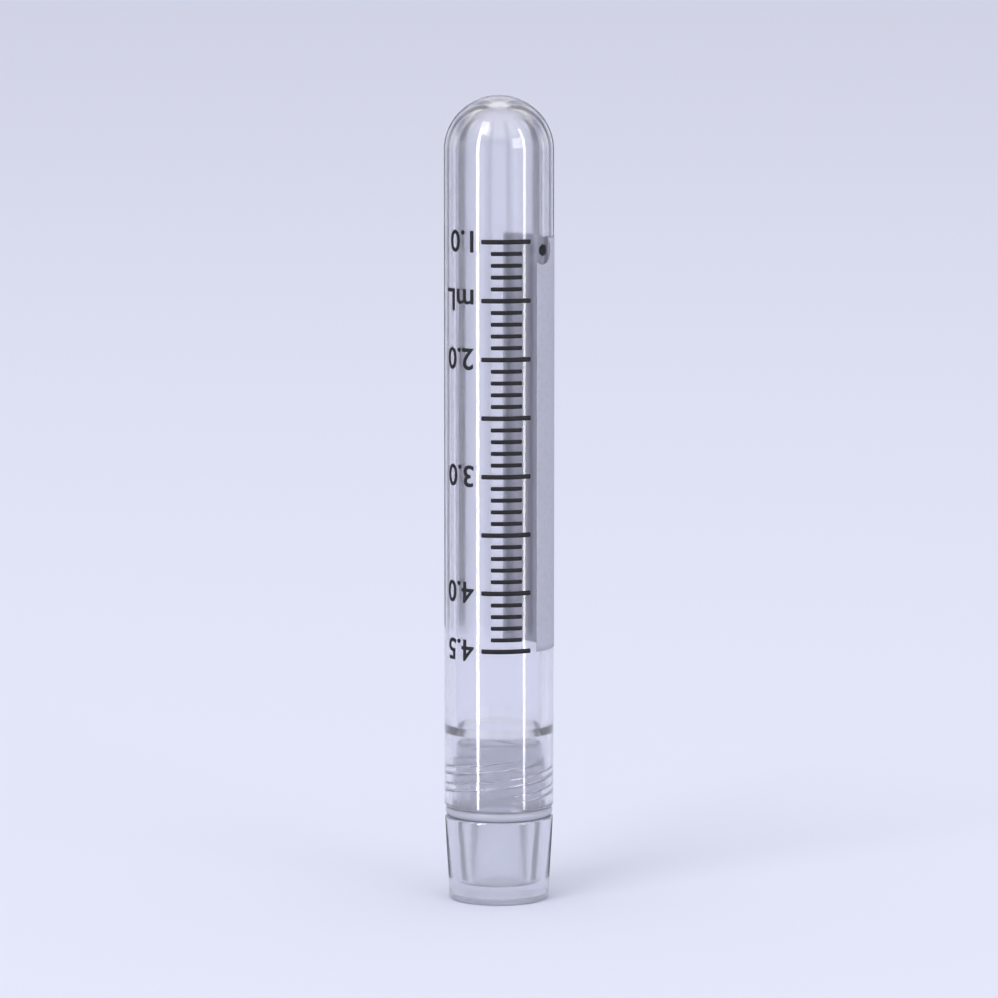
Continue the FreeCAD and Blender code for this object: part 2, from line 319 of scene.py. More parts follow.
outer_end = dome(TUBE_RADIUS, TIP, TIP_ROWS)
inner_end = dome(BORE_RADIUS, BORE_TIP, BORE_TIP_ROWS)
outer_end[:, 1] -= GATE_DEPTH * ease(np.clip(1 - outer_end[:, 0] / GATE_RADIUS, 0, 1))
outer_end[:, 1] += STUMP_HEIGHT * ease(np.clip(1 - outer_end[:, 0] / STUMP_RADIUS, 0, 1))
print("the gate's stump stays", round((TIP - outer_end[0, 1]) / MM, 3), "mm below the tip")

# %% Make the tube
FEMALE_THREAD_LOW = RIM + 0.7 * MM
FEMALE_THREAD_LENGTH = 5.3 * MM
FEMALE_THREAD_HIGH = FEMALE_THREAD_LOW + FEMALE_THREAD_LENGTH
# The thread's close rows go on this far past its end.
FEMALE_MARGIN = 0.2 * MM

tube_wall = half_section([
    (TUBE_RADIUS, TIP - TUBE_RADIUS, 0, 1.6 * MM),
    (TUBE_RADIUS, RIM, 0.25 * MM, 1.0 * MM),
    (MOUTH_RADIUS, RIM, 0.12 * MM, THREAD_ROW),
    (MOUTH_RADIUS, FEMALE_THREAD_HIGH + FEMALE_MARGIN, 0, 0.6 * MM),
    (MOUTH_RADIUS, MOUTH_END, 0.3 * MM, 0.4 * MM),
    (BORE_RADIUS, MOUTH_END + MOUTH_CONE, 0.3 * MM, 1.6 * MM),
    (BORE_RADIUS, BORE_TIP - BORE_RADIUS, 0, 1.0 * MM),
])
tube_section = np.vstack([outer_end[:-1], tube_wall, inner_end[-2::-1]])
in_mouth = (tube_section[:, 0] < MOUTH_RADIUS + TOUCH) & (tube_section[:, 1] < MOUTH_END)
female = thread_relief(tube_section[:, 1], FEMALE_THREAD_LOW, FEMALE_THREAD_LENGTH, THREAD_PITCH / 2)
vial = turned("vial_tube", tube_section, -female * in_mouth[:, None])
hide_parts("vial")
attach(vial, "vial")

# %% [markdown]
# ## The cap
#
# The cap is moulded in one shot: a tapered head to grip, a neck for the ring, and a plug with the outer
# thread. The plug is hollow to keep the wall even, so that it cools without sinking in. The half
# section starts at the bottom of the hollow, comes out over the plug's lip, goes down the thread, the
# neck and the head, and ends in the middle of the shallow recess in the cap's top.

# %% Make the cap
MALE_THREAD_LOW = RIM + 1.4 * MM
MALE_THREAD_LENGTH = 5.4 * MM
MALE_THREAD_HIGH = MALE_THREAD_LOW + MALE_THREAD_LENGTH
MALE_MARGIN = 0.1 * MM

cap_section = half_section([
    (0, HOLLOW_END, 0, 0.8 * MM),
    (HOLLOW_END_RADIUS, HOLLOW_END, 0.5 * MM, 1.2 * MM),
    (HOLLOW_MOUTH_RADIUS, PLUG_END, 0.2 * MM, 0.5 * MM),
    (PLUG_RADIUS, PLUG_END, 0.5 * MM, 0.3 * MM),
    (PLUG_RADIUS, MALE_THREAD_HIGH + MALE_MARGIN, 0, THREAD_ROW),
    (PLUG_RADIUS, MALE_THREAD_LOW - MALE_MARGIN, 0, 0.3 * MM),
    (PLUG_RADIUS, NECK_END, 0.1 * MM, 0.2 * MM),
    (NECK_RADIUS, RIM, 0.1 * MM, 0.3 * MM),
    (NECK_RADIUS, HEAD_HEIGHT, 0.04 * MM, 0.4 * MM),
    (HEAD_BASE_RADIUS, HEAD_HEIGHT, 0.25 * MM, 1.0 * MM),
    (HEAD_TOP_RADIUS, 0, 0.30 * MM, 0.3 * MM),
    (RECESS_RADIUS, 0, 0.15 * MM, 0.2 * MM),
    (RECESS_RADIUS, RECESS_DEPTH, 0.15 * MM, 0.8 * MM),
    (0, RECESS_DEPTH, 0, 1.0 * MM),
])
on_plug = (np.abs(cap_section[:, 0] - PLUG_RADIUS) < TOUCH) & (cap_section[:, 1] > RIM)
male = thread_relief(cap_section[:, 1], MALE_THREAD_LOW, MALE_THREAD_LENGTH, 0)
cap = turned("screw_cap", cap_section, male * on_plug[:, None])
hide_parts("cap")
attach(cap, "cap")

# %% [markdown]
# ## The sealing ring
#
# An O-ring is a torus, a circle carried round a circle. The two halves of its mould leave a line that
# is too fine to see, so a plain torus with close rows is enough. It is squeezed between the cap's head
# and the tube's rim, and its box in the frame already has the squeezed height.

# %% Make the ring
RING_ROWS = 40
RING_SECTION = (ring_high.z - ring_low.z) / 2
RING_RADIUS = (ring_high.x - ring_low.x) / 2 - RING_SECTION
RING_HEIGHT = (ring_high.z + ring_low.z) / 2


def torus(name, radius, section, height):
    """A circle carried round the axis.

    Point (turn, angle) is at radius + section cos turn from the axis, in the direction of the angle,
    and at height + section sin turn.
    """
    angle = np.linspace(0, 2 * np.pi, COLUMNS, endpoint=False)
    turn = np.linspace(0, 2 * np.pi, RING_ROWS, endpoint=False)[:, None]
    reach = radius + section * np.cos(turn)
    level_up = np.broadcast_to(height + section * np.sin(turn), (RING_ROWS, COLUMNS))
    points = np.stack([reach * np.cos(angle), reach * np.sin(angle), level_up], axis=-1)
    index = np.arange(RING_ROWS * COLUMNS).reshape(RING_ROWS, COLUMNS)
    up, across = np.roll(index, -1, axis=0), np.roll(index, -1, axis=1)
    quads = np.stack([index, across, np.roll(up, -1, axis=1), up], axis=-1)
    return put_mesh(name, points.reshape(-1, 3), [quads.reshape(-1, 4)])


ring = torus("seal_ring", RING_RADIUS, RING_SECTION, RING_HEIGHT)
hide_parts("o_ring")
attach(ring, "seal")

# %% [markdown]
# ## The print
#
# The scale and the writing field are screen printed: a squeegee pushes ink through a mesh while the
# tube rolls under it. Ink is a film of its own, thin but with an edge. A picture projected on the tube
# would need an image file. Here each mark is a small sheet in two directions, the arc along the wall
# and the height, and one formula lays it on the cylinder. A Solidify modifier gives every sheet its
# thickness, part of it sunk into the wall, so that no air shows behind the ink.

# %% Lay sheets on the wall
INK_PROUD = 0.04 * MM
INK_DEPTH = 0.06 * MM


def on_wall(arc, height):
    """The point at an arc from the front towards +X: its angle is the arc over the tube's radius."""
    angle = arc / TUBE_RADIUS
    reach = TUBE_RADIUS + INK_PROUD
    return np.stack([reach * np.sin(angle), -reach * np.cos(angle), height], axis=-1)


def thicken(piece):
    """Gives a sheet of ink its thickness, inwards from its outer face."""
    solid = piece.modifiers.new("ink_depth", "SOLIDIFY")
    solid.thickness = INK_DEPTH
    solid.offset = -1


def ink_piece(name, sheets):
    """One piece of several sheets, each a grid of arcs and one of heights. Shared points are welded."""
    points, faces, count = [], [], 0
    for arc, height in sheets:
        index = np.arange(arc.size).reshape(arc.shape) + count
        quads = np.stack([index[:-1, :-1], index[:-1, 1:], index[1:, 1:], index[1:, :-1]], axis=-1)
        points.append(on_wall(arc, height).reshape(-1, 3))
        faces.append(quads.reshape(-1, 4))
        count += arc.size
    welded, place = np.unique(np.round(np.vstack(points), DIGITS), axis=0, return_inverse=True)
    piece = put_mesh(name, welded, [place.ravel()[np.vstack(faces)]])
    thicken(piece)
    return piece


print("the ink stands", round(INK_PROUD / MM, 3), "mm proud of the wall")

# %% [markdown]
# The scale counts the volume that the round end holds when the vial stands cap up: half a ball of the
# bore's radius, and a column above it. So the places of the ticks follow from the bore alone, and the
# first one lies below the round end by what 1 ml needs. A tick is a strip, and the ink's surface
# tension rounds its corners.

# %% Print the ticks
MAJOR_ARC = 5.8 * MM
MINOR_ARC = 3.6 * MM
MAJOR_WIDTH = 0.52 * MM
MINOR_WIDTH = 0.46 * MM
TICK_ROUND = 0.12 * MM
CORNER_STEPS = 5
BODY_STEPS = 11
FIRST_MARK = 1
TICKS = 36
TICKS_PER_ML = 10
TICKS_PER_MAJOR = 5
# A millilitre in cubic metres.
ML = 1e-6


def level(millilitres):
    """Height of a mark: the bore's tip, less its radius, less the rest of the volume as a column."""
    bowl = 2 / 3 * math.pi * BORE_RADIUS ** 3
    column = (millilitres * ML - bowl) / (math.pi * BORE_RADIUS ** 2)
    return BORE_TIP - BORE_RADIUS - column


def tick(length, width, height):
    """A strip with round corners: near an end, its half width shrinks along a circle."""
    corner = TICK_ROUND * (1 - np.cos(np.linspace(0, np.pi / 2, CORNER_STEPS)))
    body = np.linspace(TICK_ROUND, length - TICK_ROUND, BODY_STEPS + 2)[1:-1]
    along = np.concatenate([corner, body, length - corner[::-1]])
    inset = np.clip(TICK_ROUND - np.minimum(along, length - along), 0, TICK_ROUND)
    half = width / 2 - TICK_ROUND + np.sqrt(TICK_ROUND ** 2 - inset ** 2)
    across = np.array([[-1], [0], [1]])
    return np.broadcast_to(along - length / 2, (3, len(along))), height + across * half


ticks = []
for step in range(TICKS):
    is_major = step % TICKS_PER_MAJOR == 0
    size = (MAJOR_ARC, MAJOR_WIDTH) if is_major else (MINOR_ARC, MINOR_WIDTH)
    ticks.append(tick(*size, level(FIRST_MARK + step / TICKS_PER_ML)))
print(TICKS, "ticks, with the first one", round(level(FIRST_MARK) / MM, 2), "mm high")

# %% [markdown]
# A round spot beside the first tick shows which way round the vial stands in a box. A disc made of
# rings would have a pole of thin triangles in its middle. A square grid drawn in to a circle has none.

# %% Print the spot
SPOT_RADIUS = 0.65 * MM
SPOT_ASIDE = 1.9 * MM
SPOT_ARC = MAJOR_ARC / 2 + SPOT_ASIDE
SPOT_BELOW = 1.05 * MM
SPOT_HEIGHT = level(FIRST_MARK) - SPOT_BELOW
SPOT_GRID = 13


def disc(arc, height, radius):
    """A square grid drawn in to a disc.

    Each coordinate of the square is multiplied by the root of 1 less half the other one's square.
    """
    across, up = np.meshgrid(np.linspace(-1, 1, SPOT_GRID), np.linspace(-1, 1, SPOT_GRID))
    return (arc + radius * across * np.sqrt(1 - up ** 2 / 2),
            height + radius * up * np.sqrt(1 - across ** 2 / 2))


scale = ink_piece("printed_scale", ticks + [disc(SPOT_ARC, SPOT_HEIGHT, SPOT_RADIUS)])
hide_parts("graduation_print")
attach(scale, "vial")

# %% [markdown]
# ## Numerals
#
# Figures need outlines with holes, which a grid of two parameters can't give. Blender's own text does:
# it is made a mesh while it is still flat, cut into narrow upright strips so that it can bend, and only
# then laid on the wall.

# %% Flat text in strips
NUMERAL_HEIGHT = 2.4 * MM
STRIP = 0.14 * MM
SLIVER = 0.001 * MM
CURVE_STEPS = 6
# In the text's own units, in which a line of text is 1 high.
TEXT_WELD = 0.00001


def flat_text(words):
    """Some words as a flat bmesh, one numeral high, with their lower left corner at 0."""
    curve = bpy.data.curves.new("words", "FONT")
    curve.body = words
    curve.resolution_u = CURVE_STEPS
    holder = bpy.data.objects.new("words", curve)
    bpy.context.collection.objects.link(holder)
    drawn = bpy.data.meshes.new_from_object(holder.evaluated_get(bpy.context.evaluated_depsgraph_get()))
    shape = bmesh.new()
    shape.from_mesh(drawn)
    bpy.data.objects.remove(holder)
    bpy.data.curves.remove(curve)
    bpy.data.meshes.remove(drawn)
    bmesh.ops.remove_doubles(shape, verts=shape.verts, dist=TEXT_WELD)
    places = np.array([vertex.co[:2] for vertex in shape.verts])
    low, high = places.min(axis=0), places.max(axis=0)
    size = NUMERAL_HEIGHT / (high[1] - low[1])
    bmesh.ops.translate(shape, verts=shape.verts, vec=(-low[0], -low[1], 0))
    bmesh.ops.scale(shape, verts=shape.verts, vec=(size, size, size))
    return shape, (high[0] - low[0]) * size


def cut_in_strips(shape, width):
    """Cuts a flat shape by upright planes, one strip apart, and makes its faces triangles.

    A cut close to a corner would leave a sliver, so points closer than a sliver's width are joined.
    """
    for place in np.arange(STRIP, width, STRIP):
        everything = list(shape.verts) + list(shape.edges) + list(shape.faces)
        bmesh.ops.bisect_plane(shape, geom=everything, plane_co=(place, 0, 0), plane_no=(1, 0, 0))
    bmesh.ops.remove_doubles(shape, verts=shape.verts, dist=SLIVER)
    bmesh.ops.triangulate(shape, faces=shape.faces)
    flat = np.array([vertex.co[:2] for vertex in shape.verts])
    faces = np.array([[vertex.index for vertex in face.verts] for face in shape.faces])
    face_down = np.array([face.normal.z < 0 for face in shape.faces])
    faces[face_down] = faces[face_down][:, ::-1]
    shape.free()
    return flat, faces


print("each numeral is cut in strips", round(STRIP / MM, 2), "mm wide")

# %% [markdown]
# Wet ink spreads a little past its stencil, which makes printed figures bolder and their corners
# softer. The outline is moved outwards by the same amount everywhere, which the text's own offset
# can't do without closing the small hole of a 4.
#
# The numerals read upright when the cap is on top, so here they stand on their heads, and both of
# their directions are turned round.

# %% Spread the ink and print the numerals
INK_SPREAD = 0.05 * MM
LEAST_SQUARE = 0.4
NUMERAL_GAP = 1.0 * MM
LABELS = [("4.5", 4.5), ("4.0", 4.0), ("3.0", 3.0), ("2.0", 2.0), ("mL", 1.5), ("1.0", 1.0)]


def spread(flat, faces):
    """Moves an outline outwards.

    A side that only one triangle has is part of the outline, and its outward normal is its direction
    turned to the right. A corner moves along the mean of its two sides' normals, by the spread over
    the square of that mean's length, so that both of its sides move by the spread. At a sharp corner
    that square is small, and its least value keeps the point from shooting out.
    """
    sides = np.concatenate([faces[:, [0, 1]], faces[:, [1, 2]], faces[:, [2, 0]]])
    _, which, times = np.unique(np.sort(sides, axis=1), axis=0, return_inverse=True, return_counts=True)
    outline = sides[times[which.ravel()] == 1]
    along = flat[outline[:, 1]] - flat[outline[:, 0]]
    outward = np.column_stack([along[:, 1], -along[:, 0]]) / np.linalg.norm(along, axis=1)[:, None]
    mean = np.zeros_like(flat)
    np.add.at(mean, outline[:, 0], outward / 2)
    np.add.at(mean, outline[:, 1], outward / 2)
    return flat + INK_SPREAD * mean / np.maximum((mean ** 2).sum(axis=1), LEAST_SQUARE)[:, None]


points, triangles, count = [], [], 0
for words, volume in LABELS:
    shape, width = flat_text(words)
    stencil, faces = cut_in_strips(shape, width)
    inked = spread(stencil, faces)
    arc = -(MAJOR_ARC / 2 + NUMERAL_GAP + inked[:, 0])
    points.append(on_wall(arc, level(volume) + NUMERAL_HEIGHT / 2 - inked[:, 1]))
    triangles.append(faces + count)
    count += len(inked)
    print("label", words, "is", round(width / MM, 2), "mm wide")
numerals = put_mesh("printed_numerals", np.vstack(points), [np.vstack(triangles)])
thicken(numerals)
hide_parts("graduation_print")
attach(numerals, "vial")

# %% [markdown]
# ## The writing field
#
# A field of white ink takes a pencil or a pen. It is one sheet with a round bite out of the corner
# beside the spot. Two grids make it: one below the bite, whose top edge follows the circle, and one
# beside it, whose left edge does. They share the points where they meet, and these are welded.

# %% Print the writing field
FIELD_GAP = 0.9 * MM
FIELD_WIDTH = 14.4 * MM
FIELD_LEFT = MAJOR_ARC / 2 + FIELD_GAP
FIELD_RIGHT = FIELD_LEFT + FIELD_WIDTH
FIELD_LOW = patch_low.z
FIELD_HIGH = patch_high.z
BITE_GAP = 1.0 * MM
BITE = SPOT_RADIUS + BITE_GAP
FIELD_STEPS = 60
BITE_STEPS = 17

share = np.linspace(0, 1, FIELD_STEPS)
bite_start = math.asin((FIELD_LEFT - SPOT_ARC) / BITE)
bite_turn = np.linspace(bite_start, math.pi / 2, BITE_STEPS)
below_arc = SPOT_ARC + BITE * np.sin(bite_turn)
below_top = SPOT_HEIGHT - BITE * np.cos(bite_turn)
below_height = FIELD_LOW + share[:, None] * (below_top - FIELD_LOW)
below = (np.broadcast_to(below_arc, below_height.shape), below_height)

rise = np.linspace(0, FIELD_HIGH - SPOT_HEIGHT, BITE_STEPS - 1)[1:]
rows = np.concatenate([FIELD_LOW + share * (SPOT_HEIGHT - FIELD_LOW), SPOT_HEIGHT + rise])
left = np.concatenate([np.full(FIELD_STEPS, SPOT_ARC + BITE), SPOT_ARC + np.sqrt(BITE ** 2 - rise ** 2)])
beside_arc = left[:, None] + share * (FIELD_RIGHT - left[:, None])
beside = (beside_arc, np.broadcast_to(rows[:, None], beside_arc.shape))

field = ink_piece("writing_field", [below, beside])
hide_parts("writing_patch")
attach(field, "vial")

# %% [markdown]
# ## Materials
#
# Each material is a node tree, written from what the real stuff is. Colours are written as the hex
# values that a screen shows, and one function turns them to linear light. One small function adds a
# node with its inputs and settings. Every pattern is placed by the object's own coordinates in metres,
# so a noise of scale 1 / (3 mm) has clouds about 3 mm wide.

# %% Helpers for materials
def colour(hex_value):
    """Linear colour of an sRGB hex value: about a thirteenth below 0.04045, a power of 2.4 above."""
    channels = np.array([int(hex_value[place:place + 2], 16) for place in (0, 2, 4)]) / 255
    linear = np.where(channels <= 0.04045, channels / 12.92, ((channels + 0.055) / 1.055) ** 2.4)
    return (*linear, 1.0)


def add_node(tree, kind, inputs=None, **settings):
    """Adds a node. Each input is a value, or an output socket to link to it."""
    node = tree.nodes.new(kind)
    for name, value in settings.items():
        setattr(node, name, value)
    for name, value in (inputs or {}).items():
        if isinstance(value, bpy.types.NodeSocket):
            tree.links.new(value, node.inputs[name])
        else:
            node.inputs[name].default_value = value
    return node


def new_material(name):
    """A material and its node tree, with nothing in it."""
    material = bpy.data.materials.new(name)
    material.use_nodes = True
    material.node_tree.nodes.clear()
    return material, material.node_tree


print("the hex value 808080 is", round(colour("808080")[0], 3), "in linear light")

# %% [markdown]
# ### Moulded polypropylene
#
# Polypropylene without pigment is clear but a little milky, because it sets in tiny crystals. Glass
# would be too perfect. A Principled shader with most of its weight on transmission bends light as the
# plastic does, its roughness blurs what lies behind, and the small rest of its weight scatters light
# as milk does. A thin coat keeps the highlights crisp, since the skin took the polish of the mould.
# The absorption in the volume makes thick places smoky. The melt ran along the tube, so the bump is
# noise stretched along the axis: faint streaks about a millimetre apart and micrometres deep. Where
# the melt came in, the plastic is hazier.

# %% Moulded polypropylene
# Nearly all values of a noise lie between these two.
NOISE_LOW, NOISE_HIGH = 0.3, 0.7
SMEAR = 3 * MM
STREAK = 1.1 * MM
STREAK_DEPTH = 0.004 * MM
STREAK_STRETCH = 0.08
GATE_HAZE = 0.09
GATE_HAZE_RADIUS = 4 * MM
SMOKE = colour("A4ABD2")


def moulded_polypropylene(name, tint, clearness, roughness, smoke, gate):
    """Clear, milky moulded plastic. The gate is the point where the melt came in."""
    material, tree = new_material(name)
    place = add_node(tree, "ShaderNodeTexCoord").outputs["Object"]
    stretched = add_node(tree, "ShaderNodeMapping", {
        "Vector": place, "Scale": (1, 1, STREAK_STRETCH)}).outputs["Vector"]
    streaks = add_node(tree, "ShaderNodeTexNoise", {
        "Vector": stretched, "Scale": 1 / STREAK, "Detail": 3.0}).outputs["Fac"]
    smears = add_node(tree, "ShaderNodeTexNoise", {
        "Vector": place, "Scale": 1 / SMEAR, "Detail": 2.0}).outputs["Fac"]
    smeared = add_node(tree, "ShaderNodeMapRange", {
        "Value": smears, "From Min": NOISE_LOW, "From Max": NOISE_HIGH,
        "To Min": roughness[0], "To Max": roughness[1]}).outputs["Result"]
    from_gate = add_node(tree, "ShaderNodeVectorMath", {
        0: place, 1: gate}, operation="DISTANCE").outputs["Value"]
    haze = add_node(tree, "ShaderNodeMapRange", {
        "Value": from_gate, "From Min": 0.0, "From Max": GATE_HAZE_RADIUS,
        "To Min": GATE_HAZE, "To Max": 0.0}, interpolation_type="SMOOTHSTEP").outputs["Result"]
    rough = add_node(tree, "ShaderNodeMath", {0: smeared, 1: haze}, operation="ADD").outputs["Value"]
    bump = add_node(tree, "ShaderNodeBump", {
        "Height": streaks, "Distance": STREAK_DEPTH, "Strength": 1.0}).outputs["Normal"]
    skin = add_node(tree, "ShaderNodeBsdfPrincipled", {
        "Base Color": tint, "IOR": 1.49, "Transmission Weight": clearness, "Roughness": rough,
        "Normal": bump, "Coat Weight": 0.6, "Coat Roughness": 0.04, "Coat IOR": 1.49})
    inside = add_node(tree, "ShaderNodeVolumeAbsorption", {"Color": SMOKE, "Density": smoke})
    add_node(tree, "ShaderNodeOutputMaterial", {
        "Surface": skin.outputs["BSDF"], "Volume": inside.outputs["Volume"]})
    print(name, "is clear by", round(100 * clearness), "% and milky by the rest")
    return material


tube_plastic = moulded_polypropylene(
    "natural_polypropylene", tint=colour("FAFAFE"), clearness=0.94, roughness=(0.07, 0.13),
    smoke=28.0, gate=(0, 0, TIP))
cap_plastic = moulded_polypropylene(
    "milky_polypropylene", tint=colour("F5F6FC"), clearness=0.76, roughness=(0.12, 0.17),
    smoke=22.0, gate=(0, 0, RECESS_DEPTH))

# %% [markdown]
# ### Silicone rubber
#
# The ring is silicone, which is translucent and soft to look at: its highlights are broad. Its mould
# is blasted, not polished, and the grain takes the last gloss away. Real grain is about 0.05 mm, which
# is too fine to show from here, so it is drawn at 0.25 mm.

# %% Silicone rubber
SILICONE_GRAIN = 0.25 * MM
GRAIN_DEPTH = 0.005 * MM


def silicone_rubber(name, tint):
    """Translucent, slightly matt rubber."""
    material, tree = new_material(name)
    place = add_node(tree, "ShaderNodeTexCoord").outputs["Object"]
    grain = add_node(tree, "ShaderNodeTexNoise", {
        "Vector": place, "Scale": 1 / SILICONE_GRAIN, "Detail": 2.0}).outputs["Fac"]
    bump = add_node(tree, "ShaderNodeBump", {
        "Height": grain, "Distance": GRAIN_DEPTH, "Strength": 1.0}).outputs["Normal"]
    skin = add_node(tree, "ShaderNodeBsdfPrincipled", {
        "Base Color": tint, "IOR": 1.41, "Transmission Weight": 0.35, "Roughness": 0.42, "Normal": bump})
    add_node(tree, "ShaderNodeOutputMaterial", {"Surface": skin.outputs["BSDF"]})
    print(name, "has a grain of", round(SILICONE_GRAIN / MM, 2), "mm")
    return material


ring_silicone = silicone_rubber("silicone_rubber", colour("DADCE6"))

# %% [markdown]
# ### Screen-print ink
#
# Ink dries matt. The stencil's mesh, of about ten threads a millimetre, leaves a grain in its surface.
# That is too fine to show from here, so it is drawn at 0.25 mm. The film is thinner in clouds of about
# half a millimetre, where a little more of what is behind it shows: black ink is greyer there, and
# white ink darker. White ink also lets a part of the light through, so from inside the tube the field
# looks pale grey, where opaque paint would look nearly black.

# %% Screen-print ink
INK_CLOUD = 0.5 * MM
# The ink starts to thin where the clouds' noise passes the first value, and is thinnest at the second.
THIN_FROM, THIN_TO = 0.45, 0.75
INK_GRAIN = 0.25 * MM
INK_GRAIN_DEPTH = 0.006 * MM


def screen_ink(name, tint, thin_tint, roughness, translucency):
    """Matt ink with thin places and a fine grain."""
    material, tree = new_material(name)
    place = add_node(tree, "ShaderNodeTexCoord").outputs["Object"]
    cloud = add_node(tree, "ShaderNodeTexNoise", {
        "Vector": place, "Scale": 1 / INK_CLOUD, "Detail": 4.0}).outputs["Fac"]
    thinness = add_node(tree, "ShaderNodeMapRange", {
        "Value": cloud, "From Min": THIN_FROM, "From Max": THIN_TO}).outputs["Result"]
    mixed = add_node(tree, "ShaderNodeMix", {
        "Factor": thinness, "A": tint, "B": thin_tint}, data_type="RGBA").outputs["Result"]
    grain = add_node(tree, "ShaderNodeTexNoise", {
        "Vector": place, "Scale": 1 / INK_GRAIN, "Detail": 2.0}).outputs["Fac"]
    bump = add_node(tree, "ShaderNodeBump", {
        "Height": grain, "Distance": INK_GRAIN_DEPTH, "Strength": 1.0}).outputs["Normal"]
    skin = add_node(tree, "ShaderNodeBsdfPrincipled", {
        "Base Color": mixed, "Roughness": roughness, "Specular IOR Level": 0.3,
        "Transmission Weight": translucency, "Normal": bump})
    add_node(tree, "ShaderNodeOutputMaterial", {"Surface": skin.outputs["BSDF"]})
    print(name, "has thin places about", round(INK_CLOUD / MM, 2), "mm wide")
    return material


black_ink = screen_ink("black_screen_ink", tint=colour("131318"), thin_tint=colour("202026"),
                       roughness=0.6, translucency=0.0)
white_ink = screen_ink("white_screen_ink", tint=colour("DDDEEA"), thin_tint=colour("D3D4E0"),
                       roughness=0.8, translucency=0.4)

# %% Give each piece its material
for piece, material in [
    (vial, tube_plastic), (cap, cap_plastic), (ring, ring_silicone),
    (scale, black_ink), (numerals, black_ink), (field, white_ink),
]:
    piece.data.materials.append(material)
    print(piece.name, "is", material.name)

# %% [markdown]
# ## Floor
#
# Clear plastic shows the room around it, so the room is part of its look. The floor is wide, plain and
# pale, and it has no gloss, because the vial's reflection in it would only confuse the eye.

# %% Floor
FLOOR_HALF = 4.0
FLOOR_GAP = 0.02 * MM

square = np.array([[-1, -1], [1, -1], [1, 1], [-1, 1]])
floor_points = np.column_stack([square * FLOOR_HALF, np.full(4, cad_low.z - FLOOR_GAP)])
floor = put_mesh("floor", floor_points, [np.array([[0, 1, 2, 3]])])
pale_floor, floor_tree = new_material("pale_floor")
floor_skin = add_node(floor_tree, "ShaderNodeBsdfPrincipled", {
    "Base Color": colour("E0E2F2"), "Roughness": 0.7, "Specular IOR Level": 0.0})
add_node(floor_tree, "ShaderNodeOutputMaterial", {"Surface": floor_skin.outputs["BSDF"]})
floor.data.materials.append(pale_floor)

# %% [markdown]
# ## Sky
#
# The world lights the vial from all round, like a tent of white cloth. It is pale at the horizon and
# white overhead, with a grey belt between, which the round end bends into a thin dark outline. The
# belt depends only on how high one looks, so it serves every side alike.

# %% Sky
SKY_STOPS = [(0.0, "E4E6F3"), (0.16, "E4E6F3"), (0.33, "A2A4B6"), (0.45, "A2A4B6"), (0.62, "FFFFFF")]

world = bpy.data.worlds.new("studio")
bpy.context.scene.world = world
world.use_nodes = True
sky_tree = world.node_tree
sky_tree.nodes.clear()
direction = add_node(sky_tree, "ShaderNodeTexCoord").outputs["Generated"]
upward = add_node(sky_tree, "ShaderNodeSeparateXYZ", {"Vector": direction}).outputs["Z"]
ramp = add_node(sky_tree, "ShaderNodeValToRGB", {"Fac": upward})
stops = ramp.color_ramp.elements
for index, (position, tint) in enumerate(SKY_STOPS):
    # A new ramp has two stops already.
    stop = stops[index] if index < 2 else stops.new(position)
    stop.position = position
    stop.color = colour(tint)
sky = add_node(sky_tree, "ShaderNodeBackground", {"Color": ramp.outputs["Color"], "Strength": 1.0})
add_node(sky_tree, "ShaderNodeOutputWorld", {"Surface": sky.outputs["Background"]})
print("the sky has", len(stops), "stops")

# %% [markdown]
# ## Black cards
#
# In a room that is pale all round, clear plastic would vanish: its walls bend light, but bent or not,
# the light is the same. A studio that shows glassware stands narrow black cards just outside the view.
# Each wall then squeezes a card into a thin dark line along its edge. Eight cards in a ring do this for
# a view from any side, with a bright gap straight behind the vial. They only show through and in the
# plastic: the camera doesn't see them, they cast no shadow and they take no light from the floor.
#
# The camera looks down a little, so through the cap's head it sees the floor in front of the eight
# cards, and the head's sides would stay pale. Two low cards stand close behind the head for them, one
# on each side. They lean in over it, so steeply that a look from high above meets them edge on.

# %% Black cards
AZIMUTH = -8
RING_CARDS = 8
RING_DISTANCE = 80 * MM
RING_LOW, RING_HIGH = 20 * MM, 250 * MM
RING_HALF = 6.5
# The low and the high edge of a card behind the head: its distance from the axis, its height, and how
# many degrees from straight behind it starts and ends.
HEAD_CARD = [(13.8 * MM, 0.1 * MM, 41, 72), (9.5 * MM, 9.0 * MM, 27, 56)]


def card(edges):
    """The corners of a card, along its low edge and back along its high one.

    An edge is a distance from the axis, a height, and the two directions that it runs between, in
    degrees from the camera's side. An end lies at distance sin direction, less distance cos direction.
    """
    ends = []
    for distance, height, start, end in edges:
        turn = np.radians(AZIMUTH + np.array([start, end]))
        ends.append(np.column_stack([distance * np.sin(turn), -distance * np.cos(turn), [height, height]]))
    return np.vstack([ends[0], ends[1][::-1]])


